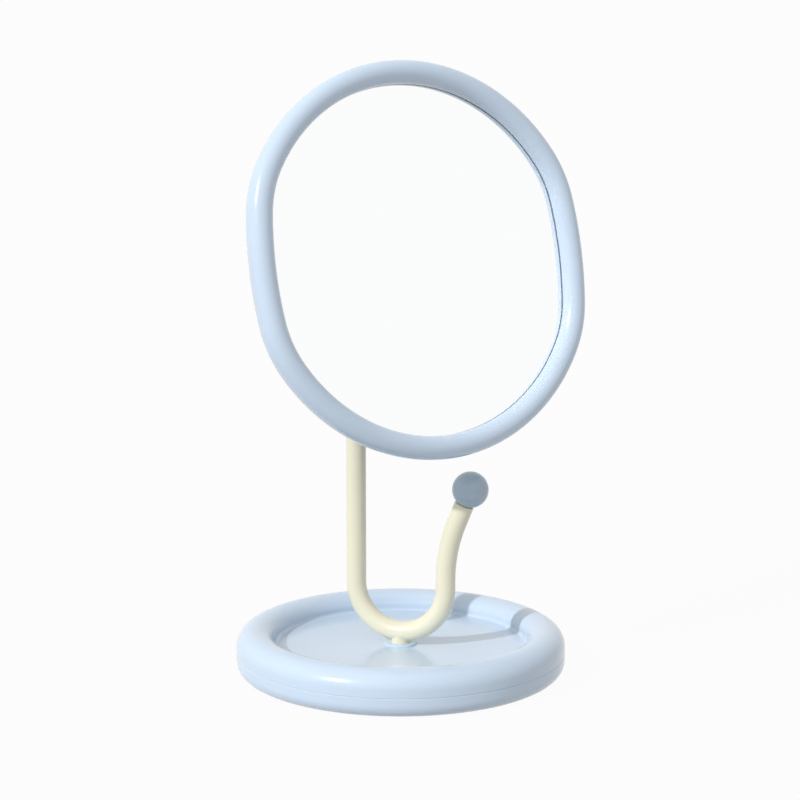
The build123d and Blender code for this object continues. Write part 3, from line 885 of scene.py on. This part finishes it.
studio = {
    "floorSize": 3.0,
    "floorGap": 0.05 * mm,  # keeps the pad's face and the floor's apart
    "floorCells": 8,
    "paperGrain": 90,
    "paperDeep": paint(172, 172, 172),
    "paperPale": paint(178, 178, 178),
    "keyAzimuth": 28.0,
    "keyElevation": 33.0,
    "keyStrength": 1.76,
    "keyColour": (0.98, 0.99, 1.0),
    "keyAngle": 1.4,
    "keyDistance": 1.5,
    "skyLow": (0.20, 0.197, 0.19, 1),
    "skyHigh": (0.80, 0.795, 0.78, 1),
    "roofDirection": (-0.15, -0.9, 0.45),  # where the soft light is strongest
    "whiteShare": 0.96,
    "backdrop": (0.977, 0.977, 0.977, 1),
}


def makeFloor():
    deselectAll()
    bpy.ops.mesh.primitive_grid_add(
        x_subdivisions=studio["floorCells"], y_subdivisions=studio["floorCells"], size=studio["floorSize"],
        location=(0, 0, -studio["floorGap"]),
    )
    floor = bpy.context.object
    floor.name = "studioFloor"
    finish = Finish("studioPaper", Roughness=0.9)
    grain = finish.noise(studio["paperGrain"], detail=3)
    finish.feed("Base Color", finish.mixColours(grain, studio["paperDeep"], studio["paperPale"]))
    # the paper is grey to the light, but nearly white where it is seen, and it keeps the shadow
    white = finish.add("ShaderNodeEmission", {}, {"Color": (1, 1, 1, 1), "Strength": 1.0})
    paper = Shade(finish.tree, finish.shader.outputs[0])
    share = finish.seenRays() * studio["whiteShare"]
    mixed = finish.add("ShaderNodeMixShader", {}, {0: share, 1: paper, 2: white})
    finish.tree.links.new(mixed.socket, finish.output.inputs["Surface"])
    floor.data.materials.append(finish.material)


def lightScene():
    # as white as the paper where it is seen; what it casts is stronger from the front and above
    world = bpy.data.worlds.new("studioSky")
    bpy.context.scene.world = world
    world.use_nodes = True
    sky = Wiring(world.node_tree)
    direction = sky.add("ShaderNodeTexCoord", {}, {}, "Generated")
    facing = sky.dot(direction, Vector(studio["roofDirection"]).normalized())
    rise = (facing * 0.5 + 0.5).clamped()
    cast = sky.mixColours(rise, studio["skyLow"], studio["skyHigh"])
    colour = sky.mixColours(sky.seenRays(), cast, studio["backdrop"])
    sky.tree.links.new(colour.socket, sky.tree.nodes["Background"].inputs["Color"])
    bpy.ops.object.light_add(type="SUN")
    key = bpy.context.object
    key.name = "keyLamp"
    key.data.energy = studio["keyStrength"]
    key.data.color = studio["keyColour"]
    key.data.angle = radians(studio["keyAngle"])
    azimuth, elevation = radians(studio["keyAzimuth"]), radians(studio["keyElevation"])
    towards = Vector((-sin(azimuth) * cos(elevation), -cos(azimuth) * cos(elevation), sin(elevation)))
    key.location = towards * studio["keyDistance"]
    key.rotation_euler = towards.to_track_quat("Z", "Y").to_euler()


shot = {
    "azimuth": 21.0,
    "distance": 0.900,
    "height": 0.2727,
    "sideStep": -0.3 * mm,
    "pitch": 9.29,
    "focalPixels": 2031.0,
    "imagePixels": 800,
    "sensorWidth": 36,
}


def placeCamera():
    azimuth = radians(shot["azimuth"])
    right = Vector((cos(azimuth), sin(azimuth), 0))
    back = Vector((sin(azimuth), -cos(azimuth), 0))
    camera = bpy.data.objects.new("camera", bpy.data.cameras.new("camera"))
    bpy.context.scene.collection.objects.link(camera)
    camera.data.sensor_width = shot["sensorWidth"]
    camera.data.lens = shot["sensorWidth"] * shot["focalPixels"] / shot["imagePixels"]
    camera.location = back * shot["distance"] + Vector((0, 0, shot["height"])) + right * shot["sideStep"]
    turn = Matrix.Rotation(azimuth, 4, "Z") @ Matrix.Rotation(radians(90 - shot["pitch"]), 4, "X")
    camera.rotation_euler = turn.to_euler()
    camera.data.dof.use_dof = False
    bpy.context.scene.camera = camera


makeFloor()
lightScene()
placeCamera()
bpy.context.scene.view_settings.view_transform = "Standard"
print("studio ready")
